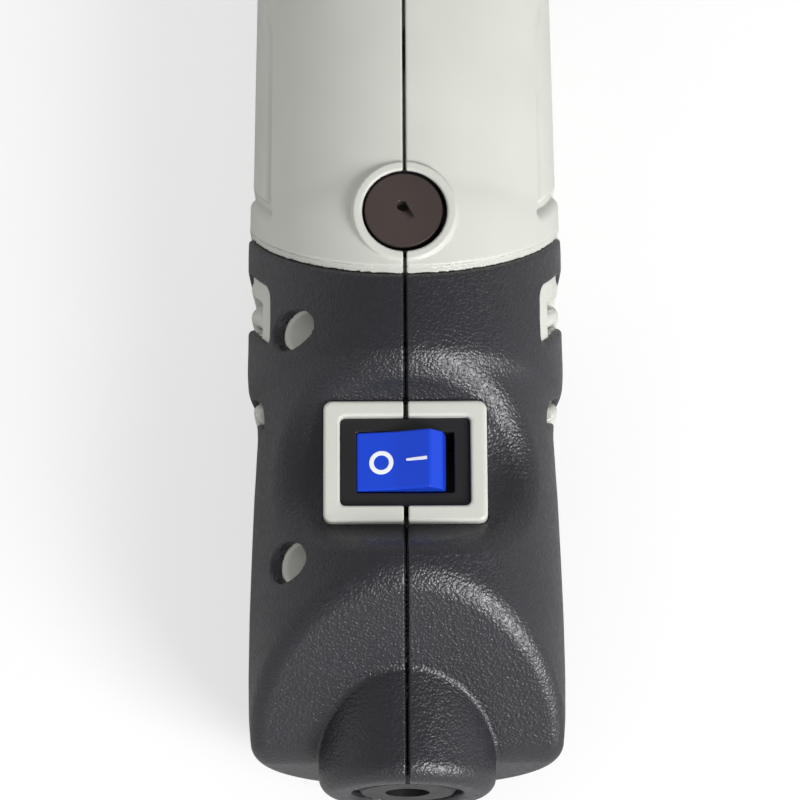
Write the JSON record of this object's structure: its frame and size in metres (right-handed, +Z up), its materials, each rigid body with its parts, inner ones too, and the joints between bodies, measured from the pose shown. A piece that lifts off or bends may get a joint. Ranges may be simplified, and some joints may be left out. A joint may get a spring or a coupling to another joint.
{
  "type": "corded rotary tool",
  "caption": "Slim corded rotary tool: grey barrel, soft black rear grip with rocker switch, brush caps, collet and threaded nose for a flexible shaft, boss for the mains cord.",
  "frame": {"origin": "on the resting flat of the belly, in the plane of the seam, 5.6 mm in front of the middle of the switch", "axes": "+Y along the spindle axis towards the nose, +Z up from the resting flat to the switch, +X to the right seen from the tail with the switch up"},
  "size_m": [0.0524, 0.2056, 0.051],
  "materials": {
    "shell_plastic": "fine matt light grey ABS",
    "grip_rubber": "soft overmoulded elastomer with a fine pebble grain",
    "screw_steel": "zinc plated screw steel",
    "switch_black": "smooth black nylon",
    "rocker_blue": "smooth blue nylon",
    "brass_tab": "stamped brass",
    "cap_brown": "matt dark brown phenolic",
    "spring_steel": "drawn spring wire, made as a plain tube",
    "carbon": "pressed carbon",
    "lamination": "stacked silicon steel sheet",
    "copper": "enamelled copper wire, made as solid coils",
    "ground_steel": "ground steel",
    "bearing_steel": "polished bearing steel",
    "fan_nylon": "black glass-filled nylon",
    "baffle_card": "pale fibre board",
    "cup_rubber": "black rubber",
    "nose_alloy": "turned alloy",
    "nose_black": "matt black nylon",
    "board_green": "green circuit board with its parts",
    "gland_rubber": "smooth black rubber"
  },
  "bodies": {
    "housing": {"shell_left": "shell_plastic", "shell_right": "shell_plastic", "grip_left": "grip_rubber", "grip_right": "grip_rubber", "housing_screws": "screw_steel", "switch_housing": "switch_black", "switch_terminals": "brass_tab", "brush_holder_top": "brass_tab", "brush_holder_bottom": "brass_tab", "brush_spring_top": "spring_steel", "brush_spring_bottom": "spring_steel", "stator_core": "lamination", "field_coils": "copper", "fan_baffle": "baffle_card", "rear_bearing_outer": "bearing_steel", "rear_bearing_cup": "cup_rubber", "front_bearing_outer": "bearing_steel", "nose_ring": "nose_alloy", "lock_spring": "spring_steel", "speed_board": "board_green", "cord_gland": "gland_rubber", "cord_clamp": "switch_black", "cord_clamp_screws": "screw_steel"},
    "rotor": {"spindle": "ground_steel", "rotor_core": "lamination", "rotor_winding": "copper", "commutator": "copper", "fan": "fan_nylon", "rear_bearing_inner": "bearing_steel", "front_bearing_inner": "bearing_steel", "collet": "ground_steel"},
    "rocker": {"switch_rocker": "rocker_blue"},
    "top_cap": {"brush_cap_top": "cap_brown"},
    "bottom_cap": {"brush_cap_bottom": "cap_brown"},
    "top_brush": {"brush_top": "carbon"},
    "bottom_brush": {"brush_bottom": "carbon"},
    "lock_ring_body": {"lock_ring": "nose_black"},
    "nut": {"collet_nut": "ground_steel"},
    "button": {"lock_button": "nose_black"},
    "dial": {"speed_dial": "nose_black"}
  },
  "joints": [
    {"name": "spindle_spin", "type": "hinge", "parent": "housing", "child": "rotor", "pos_m": [0, 0, 0.0245], "axis": [0, 1, 0], "continuous": true},
    {"name": "rocker_tilt", "type": "hinge", "parent": "housing", "child": "rocker", "pos_m": [0, -0.0056, 0.0364], "axis": [0, 1, 0], "range_deg": [0, 26]},
    {"name": "top_cap_turn", "type": "hinge", "parent": "housing", "child": "top_cap", "pos_m": [0, 0.0346, 0.0485], "axis": [0, 0, 1], "range_deg": [0, 90]},
    {"name": "bottom_cap_turn", "type": "hinge", "parent": "housing", "child": "bottom_cap", "pos_m": [0, 0.0346, 0.0025], "axis": [0, 0, -1], "range_deg": [0, 90]},
    {"name": "top_brush_slide", "type": "slide", "parent": "housing", "child": "top_brush", "axis": [0, 0, 1], "range_m": [0, 0.002], "stiffness_N_per_m": 150, "deforming": ["brush_spring_top"]},
    {"name": "bottom_brush_slide", "type": "slide", "parent": "housing", "child": "bottom_brush", "axis": [0, 0, -1], "range_m": [0, 0.002], "stiffness_N_per_m": 150, "deforming": ["brush_spring_bottom"]},
    {"name": "lock_press", "type": "slide", "parent": "housing", "child": "button", "axis": [0, 0, -1], "range_m": [0, 0.0025], "stiffness_N_per_m": 300, "deforming": ["lock_spring"]},
    {"name": "dial_turn", "type": "hinge", "parent": "housing", "child": "dial", "pos_m": [0, -0.0457, 0.0073], "axis": [1, 0, 0], "range_deg": [0, 270]},
    {"name": "lock_ring_off", "type": "slide", "parent": "housing", "child": "lock_ring_body", "axis": [0, 1, 0], "range_m": [0, 0.03]},
    {"name": "collet_nut_off", "type": "slide", "parent": "rotor", "child": "nut", "axis": [0, 1, 0], "range_m": [0, 0.014]}
  ]
}
